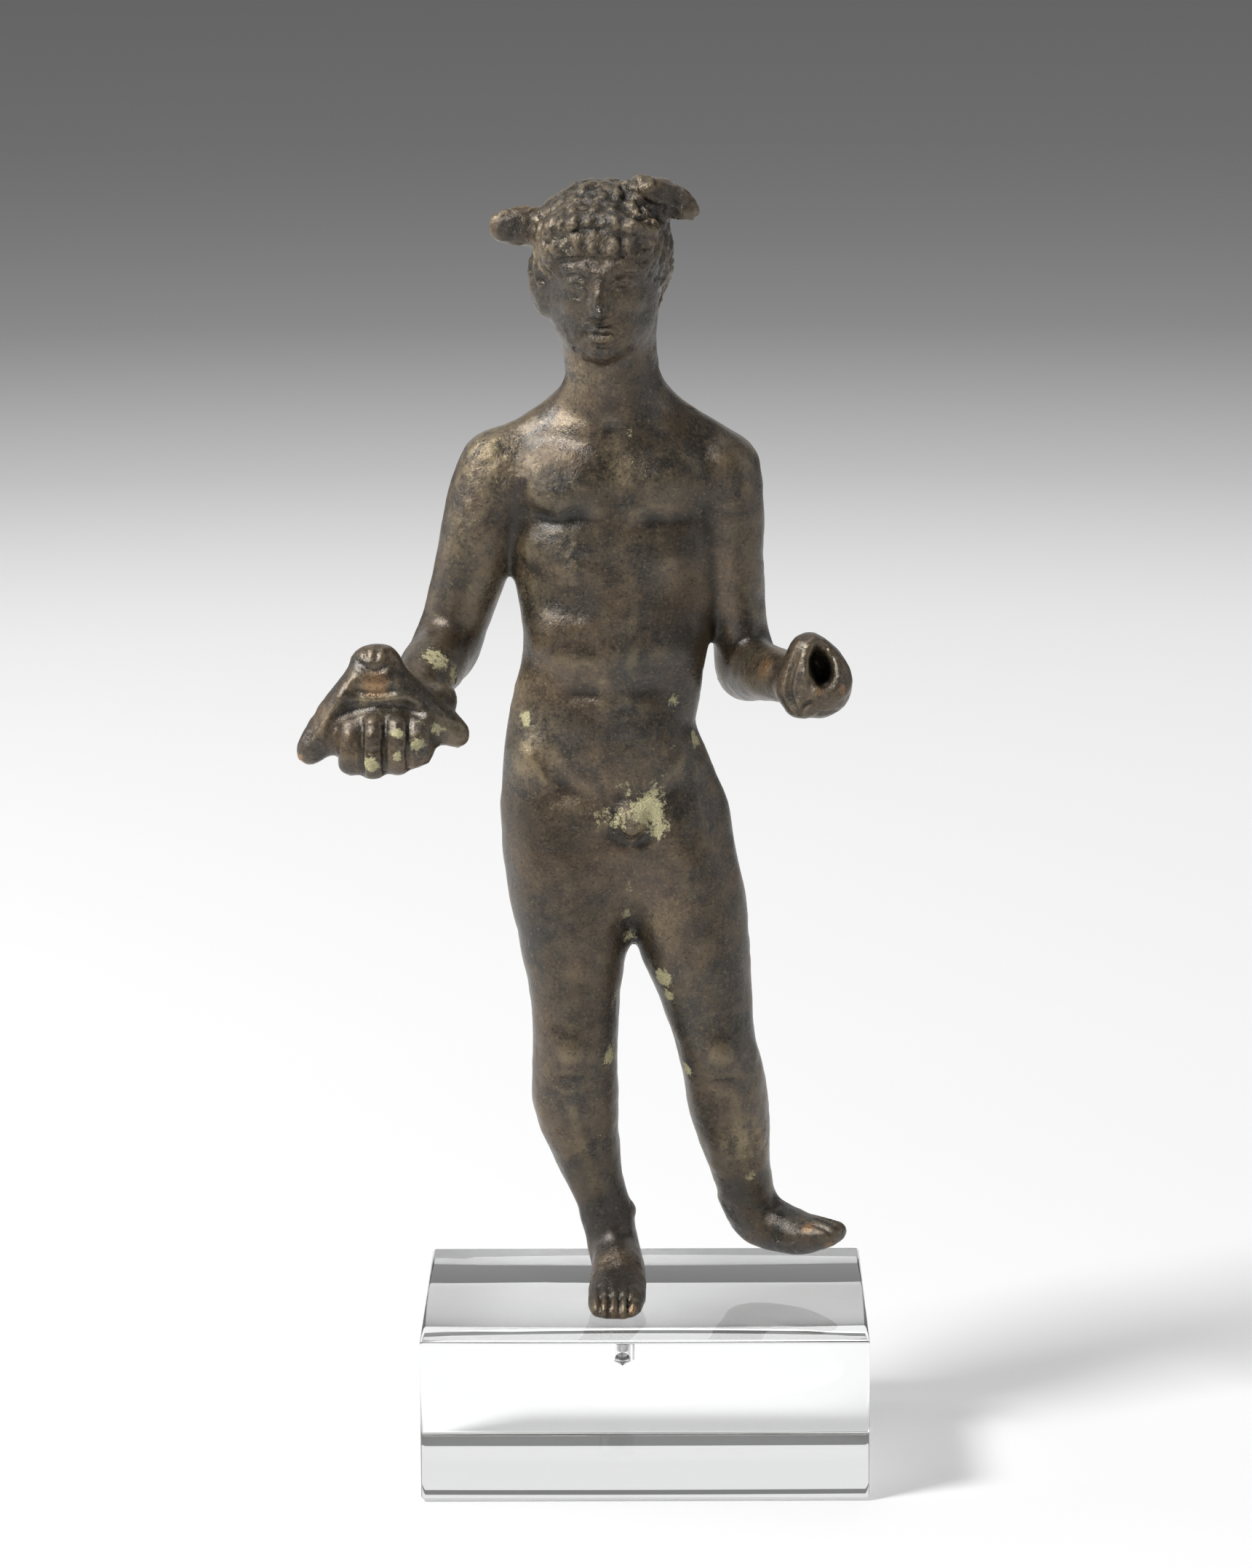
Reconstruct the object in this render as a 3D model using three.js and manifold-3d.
// A small cast bronze figure of Mercury, pinned to a clear block.
// Millimetres, +Z up, +X to the viewer's right, -Y toward the viewer.
// The origin is the centre of the block's underside.
import * as THREE from 'three';
import { mergeVertices } from 'three/addons/utils/BufferGeometryUtils.js';
import Module from 'manifold-3d';

// Display block
const blockWidth = 38;
const blockDepth = 28.5;
const blockHeight = 14;
const blockBevel = 0.4;

// Mounting pin
const pinRadius = 0.75;
const pinGap = 0.3;
const pinX = -1.9;
const pinY = -2.2;
const pinInBlock = 3.7;
const pinInFoot = 3;
const pinChamfer = 0.2;
const drillTip = 0.6;
const roundSides = 24;

// The figure's sole stays this far above the block
const seatGap = 0.3;
const soleHeight = blockHeight + seatGap;

// Surface resolution and triangle budget of the cast figure
const cellSize = 0.6;
const triangleBudget = 9200;
const fineWeight = 5;

// The figure's places are given from the sole up: [x, y, height above the sole].
// A limb station is [x, y, height, half-width, half-depth].
const torsoStations = [
  [-1.8, 0.9, 37.0, 7.9, 4.7],
  [-2.1, 0.9, 40.0, 9.8, 4.9],
  [-3.1, 0.8, 44.5, 9.2, 4.8],
  [-3.55, 0.5, 49.5, 8.05, 4.4],
  [-2.85, 0.2, 53.0, 7.75, 4.1],
  [-2.25, 0.2, 57.0, 7.8, 4.2],
  [-2.1, 0.5, 61.5, 8.5, 4.5],
  [-2.1, 0.8, 66.0, 9.0, 4.8],
  [-2.2, 1.0, 70.0, 9.2, 4.6],
  [-2.4, 1.2, 73.0, 9.4, 3.8],
  [-2.4, 1.3, 74.6, 7.2, 3.0],
];
const trapeziusStations = [
  [-12.0, 1.3, 72.3, 2.1, 2.0],
  [-7.6, 1.5, 75.1, 2.1, 2.0],
  [-4.6, 1.6, 77.3, 2.0, 2.3],
  [-0.4, 1.6, 77.4, 2.0, 2.3],
  [2.9, 1.5, 75.3, 2.1, 2.0],
  [6.8, 1.3, 72.4, 2.1, 2.0],
];
const neckStations = [
  [-2.3, 1.2, 74.5, 4.7, 4.1],
  [-2.3, 0.9, 79.0, 4.0, 4.0],
  [-2.7, 0.6, 82.5, 3.95, 4.1],
  [-2.9, 0.6, 86.0, 3.9, 4.3],
];
const rightLegStations = [
  [-6.4, 0.8, 42.0, 5.2, 5.1],
  [-6.3, 0.5, 37.0, 5.4, 5.3],
  [-6.0, 0.2, 32.0, 4.85, 4.9],
  [-5.9, -0.3, 27.2, 3.95, 4.2],
  [-5.85, -0.9, 22.6, 3.65, 3.7],
  [-6.0, -0.5, 19.6, 3.8, 3.5],
  [-5.85, 0.2, 17.0, 3.8, 3.6],
  [-5.4, 0.9, 14.0, 3.2, 3.4],
  [-4.75, 1.5, 11.2, 2.7, 2.9],
  [-4.05, 1.9, 8.8, 2.35, 2.6],
  [-3.35, 2.1, 6.4, 2.25, 2.5],
  [-2.8, 2.2, 3.8, 2.2, 2.6],
];
const leftLegStations = [
  [1.9, 0.9, 42.0, 4.4, 5.0],
  [3.35, 0.8, 37.0, 4.9, 5.1],
  [4.2, 0.5, 32.0, 4.95, 4.7],
  [5.15, 0.2, 27.2, 4.1, 4.1],
  [6.1, -0.2, 22.4, 3.45, 3.6],
  [6.8, 0.2, 19.7, 3.5, 3.4],
  [7.2, 1.2, 17.0, 3.55, 3.5],
  [7.55, 2.2, 14.3, 3.25, 3.4],
  [8.0, 3.3, 11.6, 2.85, 3.0],
  [8.6, 4.3, 9.0, 2.55, 2.7],
  [9.1, 5.0, 6.4, 2.4, 2.4],
];

// A foot station is [x, y, height, half-width, half-height]
const rightFootStations = [
  [-2.7, 4.3, 1.7, 1.7, 1.9],
  [-2.55, 2.0, 2.4, 2.1, 2.6],
  [-2.3, -1.0, 2.3, 2.35, 2.5],
  [-2.35, -4.2, 1.4, 2.5, 1.8],
  [-2.5, -7.2, 0.8, 2.5, 1.3],
  [-2.6, -8.6, 0.6, 2.2, 1.0],
];
const leftFootStations = [
  [8.9, 6.0, 4.8, 1.6, 1.8],
  [10.1, 5.0, 4.7, 2.0, 2.3],
  [11.9, 3.8, 4.5, 2.2, 2.2],
  [13.6, 2.5, 4.3, 2.3, 1.85],
  [15.3, 1.4, 4.6, 2.2, 1.4],
  [16.4, 0.75, 4.9, 1.8, 1.05],
];
const leftFootSide = [0.56, 0.83, 0];

const rightUpperArmStations = [
  [-12.2, 0.9, 71.8, 3.4, 3.5],
  [-13.2, 0.9, 69.0, 3.35, 3.6],
  [-14.2, 1.1, 64.5, 3.15, 3.4],
  [-15.3, 1.4, 60.5, 3.0, 3.2],
  [-16.2, 1.7, 57.6, 2.8, 3.0],
  [-16.7, 1.4, 56.2, 2.7, 2.7],
];
const rightForearmStations = [
  [-16.8, 1.2, 56.3, 2.65, 2.65],
  [-17.4, -2.0, 55.7, 2.75, 2.8],
  [-18.6, -6.5, 54.8, 2.5, 2.4],
  [-19.5, -10.0, 53.5, 2.1, 1.9],
];
const leftUpperArmStations = [
  [6.95, 0.9, 71.6, 3.3, 3.5],
  [7.25, 1.0, 68.0, 3.15, 3.5],
  [7.55, 1.4, 63.5, 2.8, 3.3],
  [8.1, 2.1, 59.0, 2.45, 2.9],
  [8.6, 2.9, 55.8, 2.5, 2.8],
  [8.85, 2.9, 54.2, 2.5, 2.7],
];
const leftForearmStations = [
  [8.9, 2.6, 54.2, 2.5, 2.7],
  [9.6, 0.0, 54.5, 2.5, 2.6],
  [11.0, -3.6, 54.9, 2.35, 2.35],
  [12.1, -6.4, 55.0, 2.1, 2.2],
];

// The left hand is closed round a shaft that is lost, so its grip is an empty hollow
const fistStations = [
  [13.9, -9.4, 57.6, 1.9, 2.4],
  [14.15, -9.5, 56.4, 2.6, 2.8],
  [14.5, -9.6, 55.4, 3.0, 2.9],
  [14.95, -9.6, 54.7, 2.65, 2.5],
];
const fistKnuckles = [
  { at: [12.1, -9.3, 55.0], size: [1.3, 2.2, 1.9], blend: 0.4 },
  { at: [13.3, -10.0, 53.6], size: [1.6, 2.2, 1.4], blend: 0.4 },
];
const gripStations = [
  [14.6, -8.6, 56.4, 0.55, 1.1],
  [14.8, -10.3, 56.7, 0.9, 1.6],
  [15.0, -13.4, 57.2, 1.2, 2.1],
];
const gripSide = [0.94, 0, 0.34];

// Right hand, palm up, with four fingers closing over the front of the purse
const palmStations = [
  [-19.6, -10.2, 53.2, 2.2, 1.7],
  [-20.5, -12.0, 51.6, 3.5, 1.5],
  [-21.2, -14.2, 50.5, 4.3, 1.4],
];
const handHeel = { at: [-16.8, -11.0, 53.9], size: [1.7, 1.8, 1.8] };
const fingerRadius = 1.05;
const fingers = [
  { x: -24.0, low: 49.5, tip: 52.6, front: -15.7 },
  { x: -22.1, low: 49.2, tip: 53.0, front: -16.2 },
  { x: -20.1, low: 49.6, tip: 53.0, front: -16.1 },
  { x: -18.2, low: 50.5, tip: 52.9, front: -15.4 },
];
const fingerRoot = { y: -12.6, rise: 0.6 };
const thumbStations = [
  [-21.6, -10.6, 53.2, 1.1, 1.1],
  [-23.8, -12.6, 54.4, 1.0, 1.0],
  [-25.0, -14.2, 54.6, 0.85, 0.85],
];

// The purse is a soft bag with a gathered neck above and two hanging corners
const purseBody = { at: [-21.6, -12.9, 53.8], size: [4.2, 2.4, 3.5] };
const purseNeck = { at: [-21.9, -12.8, 57.5], size: [2.3, 1.8, 1.8] };
const purseLeftStations = [
  [-22.8, -13.0, 56.6, 1.5, 1.6],
  [-25.1, -13.4, 53.7, 1.55, 1.6],
  [-27.4, -13.6, 50.4, 1.35, 1.4],
];
const purseCorner = { at: [-25.5, -13.6, 51.4], size: [1.9, 1.4, 1.4] };
const purseRightStations = [
  [-21.2, -13.0, 56.8, 1.4, 1.6],
  [-18.4, -13.4, 54.3, 1.5, 1.6],
  [-15.4, -13.3, 51.7, 1.45, 1.5],
];

// The head has its own frame: centre, then turns about X, Y and Z in degrees
const headCentre = [-3.05, -0.2, 88.9];
const headNod = 5;
const headLean = -2;
const headTurn = -3;
const headForms = [
  { at: [0, 1.3, 1.1], size: [5.3, 5.6, 5.9], blend: 1 },
  { at: [0, -0.9, -1.4], size: [4.5, 4.9, 5.9], blend: 1.2 },
  { at: [-0.1, -1.2, -4.4], size: [4.1, 4.3, 2.7], blend: 1 },
  { at: [0, -4.4, -6.0], size: [1.5, 1.2, 1.3], blend: 0.9 },
  { at: [-0.2, 1.0, 2.6], size: [5.7, 5.9, 4.3], blend: 0.8 },
  { at: [0, 3.0, -0.6], size: [5.5, 4.1, 4.6], blend: 0.9 },
  { at: [-4.9, 0.4, -1.2], size: [1.5, 2.6, 3.2], blend: 0.6 },
  { at: [4.5, 0.6, 0.7], size: [1.2, 2.4, 2.3], blend: 0.6 },
  { at: [-2.1, -3.8, 4.0], size: [2.6, 1.5, 1.3], blend: 1.3 },
  { at: [2.1, -3.8, 4.0], size: [2.6, 1.5, 1.3], blend: 1.3 },
  { at: [-4.2, -2.6, 2.4], size: [1.2, 1.8, 2.2], blend: 1 },
  { at: [4.1, -2.6, 2.4], size: [1.1, 1.8, 2.2], blend: 1 },
  { at: [0, -4.9, 0.6], size: [2.8, 0.8, 0.6], blend: 1 },
];
const noseStations = [
  [0, -5.4, 0.4, 0.55, 0.5],
  [0, -6.0, -1.6, 0.65, 0.7],
  [0, -6.4, -2.8, 0.8, 0.65],
];
const lips = { at: [0, -5.3, -4.6], size: [1.4, 0.6, 0.55] };
const eyeSockets = [
  { at: [-1.95, -6.2, -0.35], size: [1.15, 1.3, 0.7] },
  { at: [1.95, -6.2, -0.35], size: [1.15, 1.3, 0.7] },
];

// The wings spring from the hair above the temples
const rightWingStations = [
  [-7.0, -0.5, 92.2, 1.2, 1.3],
  [-9.0, -0.8, 92.4, 1.5, 1.6],
  [-10.8, -1.0, 92.3, 1.4, 1.6],
  [-11.9, -1.1, 92.1, 0.9, 1.15],
];
const leftWingStations = [
  [-1.2, -0.8, 94.6, 1.3, 1.2],
  [1.2, -0.9, 95.0, 1.4, 1.55],
  [3.0, -1.0, 94.3, 1.2, 1.45],
  [4.25, -1.1, 93.5, 0.8, 0.9],
];

// Muscles and other rounded forms of the trunk and the legs
const trunkForms = [
  { at: [-6.2, -2.0, 71.0], size: [4.0, 1.9, 3.0], blend: 1.5 },
  { at: [1.6, -2.0, 71.0], size: [3.9, 1.9, 3.0], blend: 1.5 },
  { at: [-6.7, -1.9, 65.4], size: [3.2, 2.0, 2.4], blend: 1.5 },
  { at: [2.2, -1.8, 65.2], size: [3.0, 1.9, 2.4], blend: 1.5 },
  { at: [-6.2, -2.0, 57.8], size: [3.2, 2.0, 2.5], blend: 1.5 },
  { at: [1.6, -1.8, 57.6], size: [3.0, 1.8, 2.5], blend: 1.5 },
  { at: [-1.9, -2.5, 57.5], size: [2.9, 1.7, 6.5], blend: 1.5 },
  { at: [-1.6, -2.1, 48.5], size: [4.6, 2.1, 4.4], blend: 1.5 },
  { at: [-8.6, -0.4, 47.2], size: [2.7, 3.2, 2.6], blend: 1.5 },
  { at: [2.6, -0.4, 46.8], size: [2.4, 3.0, 2.6], blend: 1.5 },
  { at: [-7.2, 3.5, 69.5], size: [3.3, 1.9, 4.0], blend: 1.4 },
  { at: [2.8, 3.5, 69.5], size: [3.3, 1.9, 4.0], blend: 1.4 },
  { at: [-5.7, 3.4, 39.5], size: [4.3, 3.4, 4.6], blend: 1.4 },
  { at: [2.2, 3.3, 39.0], size: [4.1, 3.3, 4.5], blend: 1.4 },
];
const legForms = [
  { at: [-5.8, 1.9, 17.0], size: [2.9, 2.5, 4.2], blend: 1.2 },
  { at: [7.5, 3.2, 16.0], size: [2.8, 2.5, 4.0], blend: 1.2 },
  { at: [-6.0, -3.3, 22.0], size: [1.9, 1.2, 2.1], blend: 1.1 },
  { at: [6.5, -2.6, 22.0], size: [1.8, 1.2, 2.1], blend: 1.1 },
  { at: [-5.0, 1.9, 6.3], size: [0.6, 1.0, 0.9], blend: 0.7 },
  { at: [-1.7, 1.7, 6.6], size: [0.6, 1.0, 0.8], blend: 0.7 },
  { at: [7.2, 4.6, 7.1], size: [0.8, 1.0, 0.9], blend: 0.7 },
];
const loinForms = [
  { at: [-0.9, -3.9, 42.6], size: [1.5, 1.2, 1.3], blend: 0.9 },
  { at: [-0.85, -4.7, 41.6], size: [0.6, 0.7, 1.0], blend: 0.5 },
];

// Hollows cut with a soft edge: the spine, the inner thighs and the front midline
const hollows = [
  { stations: [[-2.2, 6.5, 73, 0.9, 1.2], [-2.3, 5.5, 60, 1.0, 1.2], [-2.8, 5.6, 48, 1.0, 1.2]], blend: 1.6 },
  { stations: [[-1.6, 8.4, 42, 0.4, 1.6], [-1.2, 7.4, 35.5, 0.6, 2.0]], blend: 0.9 },
  { stations: [[-0.9, -5.8, 40.0, 0.4, 0.8], [-1.0, -5.2, 31.6, 0.6, 1.4]], blend: 1.2 },
  { stations: [[-2.3, -5.3, 74.0, 0.4, 0.6], [-2.1, -5.0, 60.0, 0.4, 0.5]], blend: 1.0 },
];

const farAway = 1e9;

function smoothMin(a, b, k) {
  const overlap = Math.max(k - Math.abs(a - b), 0);
  return Math.min(a, b) - overlap * overlap / (4 * k);
}

function smoothMax(a, b, k) {
  return -smoothMin(-a, -b, k);
}

// Distance from a point to a box, used to pass over the shapes that are too far off to matter
function boxDistance(box, x, y, z) {
  const dx = Math.max(box.min[0] - x, x - box.max[0], 0);
  const dy = Math.max(box.min[1] - y, y - box.max[1], 0);
  const dz = Math.max(box.min[2] - z, z - box.max[2], 0);
  return Math.hypot(dx, dy, dz);
}

const reach = 3;

function bounded(box, distance) {
  return (x, y, z) => {
    const outside = boxDistance(box, x, y, z);
    return outside > reach ? outside : distance(x, y, z);
  };
}

function ellipsoid(at, size) {
  const box = { min: at.map((c, i) => c - size[i]), max: at.map((c, i) => c + size[i]) };
  return bounded(box, (x, y, z) => {
    const u = (x - at[0]) / size[0];
    const v = (y - at[1]) / size[1];
    const w = (z - at[2]) / size[2];
    const near = Math.hypot(u, v, w);
    const slope = Math.hypot(u / size[0], v / size[1], w / size[2]);
    return slope < 1e-9 ? -Math.min(...size) : near * (near - 1) / slope;
  });
}

// Stations are refined along a Catmull-Rom curve, so a limb bends and swells smoothly
function refine(stations, steps) {
  const last = stations.length - 1;
  const fine = [];
  for (let i = 0; i < last; i++) {
    const [p0, p1, p2, p3] = [i - 1, i, i + 1, i + 2].map(j => stations[Math.min(Math.max(j, 0), last)]);
    for (let s = 0; s < steps; s++) {
      const t = s / steps;
      fine.push(p1.map((_, k) => 0.5 * (2 * p1[k] + (p2[k] - p0[k]) * t
        + (2 * p0[k] - 5 * p1[k] + 4 * p2[k] - p3[k]) * t * t
        + (3 * p1[k] - p0[k] - 3 * p2[k] + p3[k]) * t * t * t)));
    }
  }
  fine.push(stations[last]);
  return fine;
}

// An elliptical section carried along a curve. The half-width lies along side.
function limb(stations, side = [1, 0, 0], steps = 4) {
  const fine = refine(stations, steps);
  const box = { min: [farAway, farAway, farAway], max: [-farAway, -farAway, -farAway] };
  for (const [x, y, z, a, b] of fine) {
    const r = Math.max(a, b);
    [x, y, z].forEach((c, i) => {
      box.min[i] = Math.min(box.min[i], c - r);
      box.max[i] = Math.max(box.max[i], c + r);
    });
  }
  const pieces = [];
  for (let i = 0; i + 1 < fine.length; i++) {
    const from = new THREE.Vector3(...fine[i]);
    const along = new THREE.Vector3(...fine[i + 1]).sub(from);
    const length = along.length();
    const axis = along.clone().normalize();
    const across = new THREE.Vector3(...side);
    across.addScaledVector(axis, -across.dot(axis)).normalize();
    const depth = new THREE.Vector3().crossVectors(axis, across);
    pieces.push({ from, axis, across, depth, length, start: fine[i], end: fine[i + 1] });
  }
  return bounded(box, (x, y, z) => {
    let best = farAway;
    for (const piece of pieces) {
      const px = x - piece.from.x;
      const py = y - piece.from.y;
      const pz = z - piece.from.z;
      const run = px * piece.axis.x + py * piece.axis.y + pz * piece.axis.z;
      const t = Math.min(Math.max(run / piece.length, 0), 1);
      const a = piece.start[3] + (piece.end[3] - piece.start[3]) * t;
      const b = piece.start[4] + (piece.end[4] - piece.start[4]) * t;
      const c = Math.min(a, b);
      const u = px * piece.across.x + py * piece.across.y + pz * piece.across.z;
      const v = px * piece.depth.x + py * piece.depth.y + pz * piece.depth.z;
      const w = run - t * piece.length;
      const near = Math.hypot(u / a, v / b, w / c);
      const slope = Math.hypot(u / (a * a), v / (b * b), w / (c * c));
      const d = slope < 1e-9 ? -c : near * (near - 1) / slope;
      if (d < best) best = d;
    }
    return best;
  });
}

// Carries a point into the head's frame before the head's forms are read
function inHeadFrame(distance) {
  const turn = new THREE.Euler(
    THREE.MathUtils.degToRad(headNod),
    THREE.MathUtils.degToRad(headLean),
    THREE.MathUtils.degToRad(headTurn),
  );
  const m = new THREE.Matrix4().makeRotationFromEuler(turn).invert().elements;
  return (x, y, z) => {
    const px = x - headCentre[0];
    const py = y - headCentre[1];
    const pz = z - headCentre[2];
    return distance(
      m[0] * px + m[4] * py + m[8] * pz,
      m[1] * px + m[5] * py + m[9] * pz,
      m[2] * px + m[6] * py + m[10] * pz,
    );
  };
}

const add = (shape, blend) => ({ shape, blend, cut: false });
const cut = (shape, blend) => ({ shape, blend, cut: true });
const addForms = forms => forms.map(form => add(ellipsoid(form.at, form.size), form.blend));

function fingerSteps() {
  return fingers.map(({ x, low, tip, front }) => add(limb([
    [x * 0.8 - 4.1, fingerRoot.y, low + fingerRoot.rise, fingerRadius, fingerRadius],
    [x, front + 0.9, low - 0.1, fingerRadius, fingerRadius],
    [x, front, low + 1.1, fingerRadius, fingerRadius],
    [x, front + 0.4, tip, fingerRadius * 0.9, fingerRadius * 0.8],
  ]), 0.25));
}

const sideways = [0, 1, 0];
const figureSteps = [
  add(limb(torsoStations), 1),
  ...addForms(trunkForms),
  add(limb(rightLegStations), 1.2),
  add(limb(leftLegStations), 0.9),
  ...addForms(legForms),
  add(limb(rightFootStations), 0.8),
  add(limb(leftFootStations, leftFootSide), 0.8),
  add(limb(trapeziusStations, [0, 0, 1]), 1.6),
  add(limb(neckStations), 1.6),
  add(limb(rightUpperArmStations), 1.2),
  add(limb(leftUpperArmStations), 0.9),
  add(limb(rightForearmStations), 1.2),
  add(limb(leftForearmStations), 1.2),
  ...addForms(loinForms),
  ...hollows.map(({ stations, blend }) => cut(limb(stations), blend)),
  add(limb(fistStations), 0.9),
  ...addForms(fistKnuckles),
  cut(limb(gripStations, gripSide), 0.4),
  add(limb(palmStations), 0.9),
  add(ellipsoid(handHeel.at, handHeel.size), 1.3),
  add(ellipsoid(purseBody.at, purseBody.size), 0.5),
  add(ellipsoid(purseNeck.at, purseNeck.size), 0.7),
  add(limb(purseLeftStations), 0.5),
  add(ellipsoid(purseCorner.at, purseCorner.size), 0.5),
  add(limb(purseRightStations), 0.5),
  ...fingerSteps(),
  add(limb(thumbStations), 0.4),
  ...addForms(headForms).map(step => add(inHeadFrame(step.shape), step.blend)),
  ...eyeSockets.map(({ at, size }) => cut(inHeadFrame(ellipsoid(at, size)), 0.5)),
  add(inHeadFrame(limb(noseStations)), 0.45),
  add(inHeadFrame(ellipsoid(lips.at, lips.size)), 0.35),
  add(limb(rightWingStations, sideways), 0.5),
  add(limb(leftWingStations, sideways), 0.5),
];

function figureField(x, y, z) {
  let d = farAway;
  for (const { shape, blend, cut: cutting } of figureSteps) {
    const s = shape(x, y, z);
    d = cutting ? smoothMax(d, -s, blend) : smoothMin(d, s, blend);
  }
  return d;
}

function fieldSlope(x, y, z) {
  const h = 0.05;
  return new THREE.Vector3(
    figureField(x + h, y, z) - figureField(x - h, y, z),
    figureField(x, y + h, z) - figureField(x, y - h, z),
    figureField(x, y, z + h) - figureField(x, y, z - h),
  ).divideScalar(2 * h);
}

// The region that the figure fills, in its own frame
const region = { min: [-30, -19, -1.2], max: [20, 10, 98.4] };

// The field is read at every grid point near the surface. A block that lies well away from it
// takes the value at its own middle.
const blockCells = 4;

function sampleField(values, [nx, ny, nz], gridPoint) {
  const halfSpan = blockCells * cellSize / 2;
  const clear = 3 * halfSpan;
  for (let k0 = 0; k0 < nz; k0 += blockCells) {
    for (let j0 = 0; j0 < ny; j0 += blockCells) {
      for (let i0 = 0; i0 < nx; i0 += blockCells) {
        const low = gridPoint(i0 + j0 * nx + k0 * nx * ny);
        const middle = figureField(...low.map(c => c + halfSpan));
        for (let k = k0; k < Math.min(k0 + blockCells, nz); k++) {
          for (let j = j0; j < Math.min(j0 + blockCells, ny); j++) {
            for (let i = i0; i < Math.min(i0 + blockCells, nx); i++) {
              const n = i + j * nx + k * nx * ny;
              values[n] = Math.abs(middle) > clear ? middle : figureField(...gridPoint(n));
            }
          }
        }
      }
    }
  }
}

// Lower and upper crossings are kept off the grid points, so no sliver is smaller than this share
const crossingMargin = 0.04;

// The zero surface of the field as triangles, by cutting each cell into six tetrahedra
function traceSurface() {
  const [nx, ny, nz] = region.min.map((low, i) => Math.ceil((region.max[i] - low) / cellSize) + 1);
  const stride = [1, nx, nx * ny];
  const values = new Float64Array(nx * ny * nz);
  const gridPoint = n => [
    region.min[0] + (n % nx) * cellSize,
    region.min[1] + (Math.floor(n / nx) % ny) * cellSize,
    region.min[2] + Math.floor(n / (nx * ny)) * cellSize,
  ];
  sampleField(values, [nx, ny, nz], gridPoint);
  const points = [];
  const faces = [];
  const onEdge = new Map();
  const crossing = (inside, outside) => {
    const key = Math.min(inside, outside) * values.length + Math.max(inside, outside);
    if (!onEdge.has(key)) {
      const exact = values[inside] / (values[inside] - values[outside]);
      const share = Math.min(Math.max(exact, crossingMargin), 1 - crossingMargin);
      const a = gridPoint(inside);
      const b = gridPoint(outside);
      onEdge.set(key, points.length);
      points.push(a.map((c, i) => c + (b[i] - c) * share));
    }
    return onEdge.get(key);
  };
  const addFace = (a, b, c, flipped) => faces.push(flipped ? [a, c, b] : [a, b, c]);
  const tetrahedra = [
    { order: [0, 1, 2], odd: 0 }, { order: [0, 2, 1], odd: 1 }, { order: [1, 0, 2], odd: 1 },
    { order: [1, 2, 0], odd: 0 }, { order: [2, 0, 1], odd: 0 }, { order: [2, 1, 0], odd: 1 },
  ];
  const splitTetrahedron = (corners, odd) => {
    const inside = [];
    const outside = [];
    let swaps = odd;
    for (const n of corners) {
      if (values[n] < 0) {
        inside.push(n);
        swaps += outside.length;
      } else {
        outside.push(n);
      }
    }
    const flipped = swaps % 2 === 1;
    if (inside.length === 1) {
      addFace(...outside.map(n => crossing(inside[0], n)), flipped);
    } else if (inside.length === 3) {
      addFace(...inside.map(n => crossing(n, outside[0])), flipped);
    } else if (inside.length === 2) {
      const [a, b] = inside;
      const [c, d] = outside;
      addFace(crossing(a, c), crossing(a, d), crossing(b, d), flipped);
      addFace(crossing(a, c), crossing(b, d), crossing(b, c), flipped);
    }
  };
  for (let k = 0; k + 1 < nz; k++) {
    for (let j = 0; j + 1 < ny; j++) {
      for (let i = 0; i + 1 < nx; i++) {
        const base = i + j * nx + k * nx * ny;
        let below = 0;
        for (let c = 0; c < 8; c++) {
          if (values[base + (c & 1) + ((c >> 1) & 1) * nx + (c >> 2) * nx * ny] < 0) below++;
        }
        if (below === 0 || below === 8) continue;
        for (const { order, odd } of tetrahedra) {
          const corners = [base];
          for (const axis of order) corners.push(corners[corners.length - 1] + stride[axis]);
          splitTetrahedron(corners, odd);
        }
      }
    }
  }
  return { points, faces };
}

// Small pockets shut inside the cast are filled: only the largest connected shell is kept
function largestShell({ points, faces }) {
  const parent = points.map((_, n) => n);
  const root = n => {
    while (parent[n] !== n) {
      parent[n] = parent[parent[n]];
      n = parent[n];
    }
    return n;
  };
  for (const [a, b, c] of faces) {
    parent[root(a)] = root(b);
    parent[root(b)] = root(c);
  }
  const shells = new Map();
  for (const face of faces) {
    const key = root(face[0]);
    if (!shells.has(key)) shells.set(key, []);
    shells.get(key).push(face);
  }
  const kept = [...shells.values()].reduce((a, b) => (b.length > a.length ? b : a));
  return { points, faces: kept };
}

const minus = (a, b) => [a[0] - b[0], a[1] - b[1], a[2] - b[2]];
const cross = (a, b) => [a[1] * b[2] - a[2] * b[1], a[2] * b[0] - a[0] * b[2], a[0] * b[1] - a[1] * b[0]];
const dot = (a, b) => a[0] * b[0] + a[1] * b[1] + a[2] * b[2];
const faceNormal = (p, q, r) => cross(minus(q, p), minus(r, p));

// Entries leave the heap in order of their cost
class Heap {
  items = [];

  push(item) {
    const list = this.items;
    let n = list.push(item) - 1;
    while (n > 0) {
      const parent = (n - 1) >> 1;
      if (list[parent].cost <= item.cost) break;
      list[n] = list[parent];
      n = parent;
    }
    list[n] = item;
  }

  pop() {
    const list = this.items;
    const top = list[0];
    const item = list.pop();
    if (list.length === 0) return top;
    let n = 0;
    for (;;) {
      let child = 2 * n + 1;
      if (child >= list.length) break;
      if (child + 1 < list.length && list[child + 1].cost < list[child].cost) child++;
      if (list[child].cost >= item.cost) break;
      list[n] = list[child];
      n = child;
    }
    list[n] = item;
    return top;
  }
}

// A quadric sums squared distances to planes: [xx, xy, xz, yy, yz, zz, x, y, z, 1]
function planeQuadric(normal, offset, weight) {
  const [a, b, c] = normal;
  const d = offset;
  return [a * a, a * b, a * c, b * b, b * c, c * c, a * d, b * d, c * d, d * d].map(v => v * weight);
}

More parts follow.
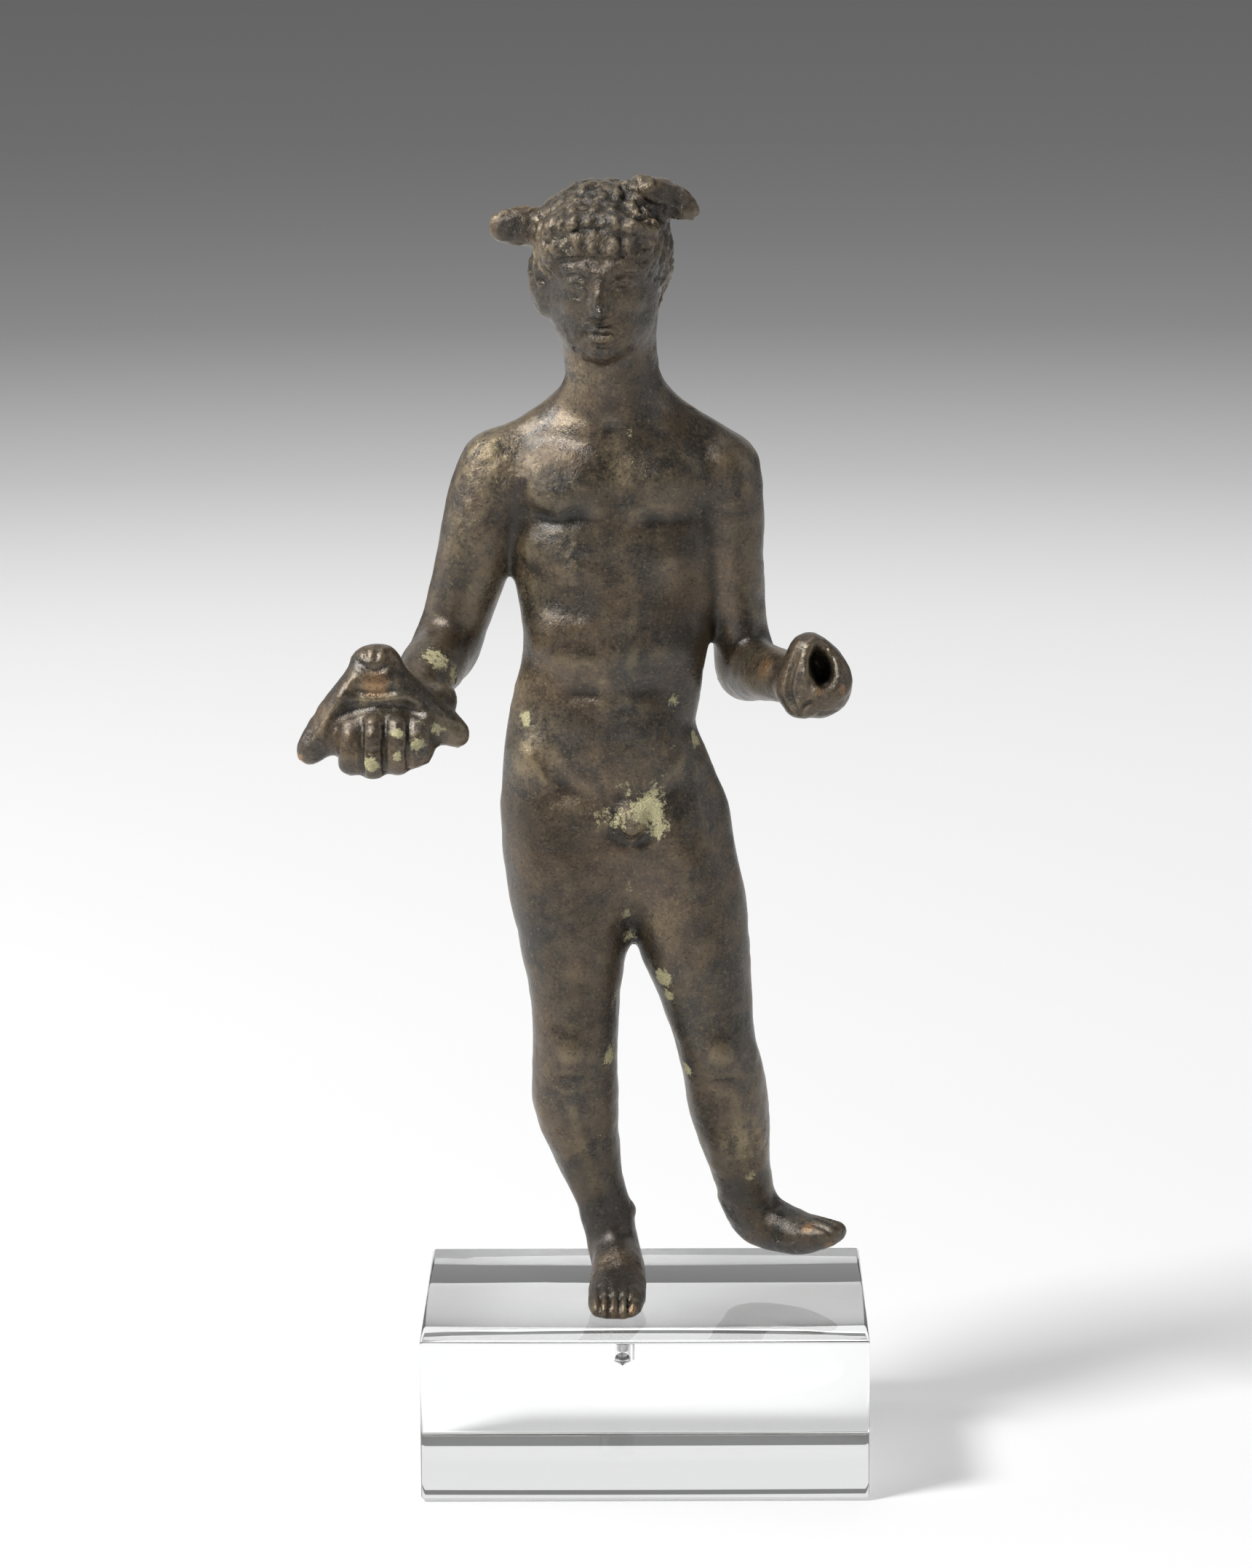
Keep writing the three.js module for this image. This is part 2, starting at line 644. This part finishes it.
function quadricError(q, [x, y, z]) {
  return q[0] * x * x + 2 * q[1] * x * y + 2 * q[2] * x * z + q[3] * y * y + 2 * q[4] * y * z
    + q[5] * z * z + 2 * (q[6] * x + q[7] * y + q[8] * z) + q[9];
}

// The point of least error, held a little toward the edge's middle
function bestPoint(q, middle) {
  const hold = 1e-3 * (q[0] + q[3] + q[5]) + 1e-12;
  const m = [[q[0] + hold, q[1], q[2]], [q[1], q[3] + hold, q[4]], [q[2], q[4], q[5] + hold]];
  const right = [0, 1, 2].map(i => hold * middle[i] - q[6 + i]);
  const whole = dot(m[0], cross(m[1], m[2]));
  return [
    dot(right, cross(m[1], m[2])) / whole,
    dot(m[0], cross(right, m[2])) / whole,
    dot(m[0], cross(m[1], right)) / whole,
  ];
}

// A face's doubled area over the square of its longest side
function roundness([p, q, r]) {
  const longest = Math.max(...[minus(p, q), minus(q, r), minus(r, p)].map(side => dot(side, side)));
  return Math.hypot(...faceNormal(p, q, r)) / longest;
}

const evenness = 2e-4;
const leastRoundness = 0.12;
const leastTurn = 0.2;
const mostNeighbours = 11;

// Edge collapse by quadric error. The surface stays closed and no face is turned over.
function simplify({ points, faces }, budget, weightAt) {
  const quadrics = points.map(() => new Array(10).fill(0));
  const around = points.map(() => new Set());
  const stamps = new Int32Array(points.length);
  faces.forEach((face, f) => {
    const [p, q, r] = face.map(n => points[n]);
    const normal = faceNormal(p, q, r);
    const size = Math.hypot(...normal);
    face.forEach(n => around[n].add(f));
    if (size < 1e-12) return;
    const unit = normal.map(v => v / size);
    const plane = planeQuadric(unit, -dot(unit, p), size * weightAt(p));
    face.forEach(n => plane.forEach((v, i) => { quadrics[n][i] += v; }));
  });
  const neighbours = v => {
    const found = new Set();
    for (const f of around[v]) faces[f].forEach(n => found.add(n));
    found.delete(v);
    return found;
  };
  const heap = new Heap();
  const offer = (u, v) => {
    const q = quadrics[u].map((value, i) => value + quadrics[v][i]);
    const middle = points[u].map((c, i) => (c + points[v][i]) / 2);
    const at = bestPoint(q, middle);
    const length = Math.hypot(...minus(points[u], points[v]));
    if (Math.hypot(...minus(at, middle)) > length) at.splice(0, 3, ...middle);
    const cost = quadricError(q, at) + evenness * length * length * weightAt(middle);
    heap.push({ cost, u, v, at, stampU: stamps[u], stampV: stamps[v] });
  };
  const turnsOver = (moved, other, at) => {
    for (const f of around[moved]) {
      if (faces[f].includes(other)) continue;
      const before = faceNormal(...faces[f].map(n => points[n]));
      const corners = faces[f].map(n => (n === moved ? at : points[n]));
      const after = faceNormal(...corners);
      const [a, b] = [Math.hypot(...before), Math.hypot(...after)];
      if (roundness(corners) < Math.min(leastRoundness, 0.8 * roundness(faces[f].map(n => points[n])))) return true;
      if (a > 1e-6 && dot(before, after) < leastTurn * a * b) return true;
    }
    return false;
  };
  let live = faces.length;
  let liveBefore = Infinity;
  while (live > budget) {
    if (heap.items.length === 0) {
      if (live === liveBefore) break;
      liveBefore = live;
      for (let v = 0; v < points.length; v++) {
        for (const n of neighbours(v)) if (v < n) offer(v, n);
      }
    }
    const { u, v, at, stampU, stampV } = heap.pop();
    if (stamps[u] !== stampU || stamps[v] !== stampV) continue;
    const nearU = neighbours(u);
    const nearV = neighbours(v);
    if (!nearU.has(v)) continue;
    const shared = [...nearU].filter(n => nearV.has(n));
    if (shared.length !== 2 || nearU.size + nearV.size - 4 > mostNeighbours) continue;
    if (shared.some(n => around[n].size <= 3)) continue;
    if (turnsOver(u, v, at) || turnsOver(v, u, at)) continue;
    for (const f of [...around[v]]) {
      if (faces[f].includes(u)) {
        faces[f].forEach(n => around[n].delete(f));
        faces[f] = null;
        live--;
      } else {
        faces[f] = faces[f].map(n => (n === v ? u : n));
        around[u].add(f);
      }
    }
    around[v].clear();
    points[u] = at;
    quadrics[u] = quadrics[u].map((value, i) => value + quadrics[v][i]);
    stamps[v] = -1;
    stamps[u] += 1;
    for (const n of neighbours(u)) offer(u, n);
  }
  const kept = faces.filter(face => face !== null);
  const used = [...new Set(kept.flat())];
  const index = new Map(used.map((n, i) => [n, i]));
  return { points: used.map(n => points[n]), faces: kept.map(face => face.map(n => index.get(n))) };
}

const leastMove = 0.12;

// Carries each point back onto the true surface
function settle(point) {
  let [x, y, z] = point;
  for (let step = 0; step < 2; step++) {
    const value = figureField(x, y, z);
    const slope = fieldSlope(x, y, z);
    const steep = Math.max(slope.lengthSq(), 0.05);
    const move = slope.multiplyScalar(-value / steep).clampLength(0, leastMove);
    x += move.x;
    y += move.y;
    z += move.z;
  }
  return [x, y, Math.max(z, 0)];
}

// Head, hands and feet keep smaller faces
function detailAt([x, y, z]) {
  const head = z > 80.5;
  const foot = z < 6.5;
  const purseHand = x < -17.3 && z < 62;
  const emptyHand = x > 11.4 && z > 45;
  return head || foot || purseHand || emptyHand ? fineWeight : 1;
}

const wasm = await Module();
wasm.setup();

// three.js geometry to a joinable solid and back
function toSolid(points, faces) {
  const vertProperties = new Float32Array(points.flat());
  const triVerts = new Uint32Array(faces.flat());
  return new wasm.Manifold(new wasm.Mesh({ numProp: 3, vertProperties, triVerts }));
}

function geometryToSolid(source) {
  const geometry = source.clone();
  geometry.deleteAttribute('normal');
  geometry.deleteAttribute('uv');
  const merged = mergeVertices(geometry, 1e-5);
  const places = merged.getAttribute('position');
  const points = Array.from({ length: places.count }, (_, i) => [places.getX(i), places.getY(i), places.getZ(i)]);
  const faces = [];
  for (let i = 0; i < merged.index.count; i += 3) {
    const face = [0, 1, 2].map(c => merged.index.getX(i + c));
    if (new Set(face).size === 3) faces.push(face);
  }
  return toSolid(points, faces);
}

function toMesh(solid, name, material) {
  const mesh = solid.getMesh();
  const geometry = new THREE.BufferGeometry();
  geometry.setAttribute('position', new THREE.BufferAttribute(new Float32Array(mesh.vertProperties), 3));
  geometry.setIndex(new THREE.BufferAttribute(new Uint32Array(mesh.triVerts), 1));
  geometry.computeVertexNormals();
  const object = new THREE.Mesh(geometry, material);
  object.name = name;
  return object;
}

// A closed turned solid about the pin's axis, from [radius, height] pairs that start and end on it
function turned(profile) {
  const outline = profile.map(([radius, height]) => new THREE.Vector2(radius, height));
  const geometry = new THREE.LatheGeometry(outline, roundSides);
  geometry.rotateX(Math.PI / 2);
  geometry.translate(pinX, pinY, 0);
  return geometryToSolid(geometry);
}

const boreRadius = pinRadius + pinGap;

function makeFigure() {
  const { points, faces } = simplify(largestShell(traceSurface()), triangleBudget, detailAt);
  const cast = toSolid(points.map(settle).map(([x, y, z]) => [x, y, z + soleHeight]), faces);
  const bore = turned([
    [0, soleHeight - 1],
    [boreRadius, soleHeight - 1],
    [boreRadius, soleHeight + pinInFoot + pinGap],
    [0, soleHeight + pinInFoot + pinGap],
  ]);
  return cast.subtract(bore);
}

function makePin() {
  const low = blockHeight - pinInBlock;
  const high = soleHeight + pinInFoot;
  return turned([
    [0, low],
    [pinRadius - pinChamfer, low],
    [pinRadius, low + pinChamfer],
    [pinRadius, high - pinChamfer],
    [pinRadius - pinChamfer, high],
    [0, high],
  ]);
}

function makeBlock() {
  const halfWidth = blockWidth / 2 - blockBevel;
  const halfDepth = blockDepth / 2 - blockBevel;
  const outline = new THREE.Shape([
    new THREE.Vector2(-halfWidth, -halfDepth),
    new THREE.Vector2(halfWidth, -halfDepth),
    new THREE.Vector2(halfWidth, halfDepth),
    new THREE.Vector2(-halfWidth, halfDepth),
  ]);
  const geometry = new THREE.ExtrudeGeometry(outline, {
    depth: blockHeight - 2 * blockBevel,
    bevelEnabled: true,
    bevelThickness: blockBevel,
    bevelSize: blockBevel,
    bevelSegments: 1,
  });
  geometry.translate(0, 0, blockBevel);
  const floor = blockHeight - pinInBlock - pinGap;
  const bore = turned([
    [0, floor - drillTip],
    [boreRadius, floor],
    [boreRadius, blockHeight + 1],
    [0, blockHeight + 1],
  ]);
  return geometryToSolid(geometry).subtract(bore);
}

const bronze = new THREE.MeshStandardMaterial({ color: 0x3a3127, metalness: 0.85, roughness: 0.5 });
const steel = new THREE.MeshStandardMaterial({ color: 0xb8babd, metalness: 1, roughness: 0.3 });
const acrylic = new THREE.MeshStandardMaterial({
  color: 0xf2f5f5, metalness: 0, roughness: 0.05, transparent: true, opacity: 0.25,
});

const group = new THREE.Group();
group.name = 'mercury_statuette';
group.add(
  toMesh(makeFigure(), 'mercury_figure', bronze),
  toMesh(makePin(), 'mounting_pin', steel),
  toMesh(makeBlock(), 'display_block', acrylic),
);

export default group;
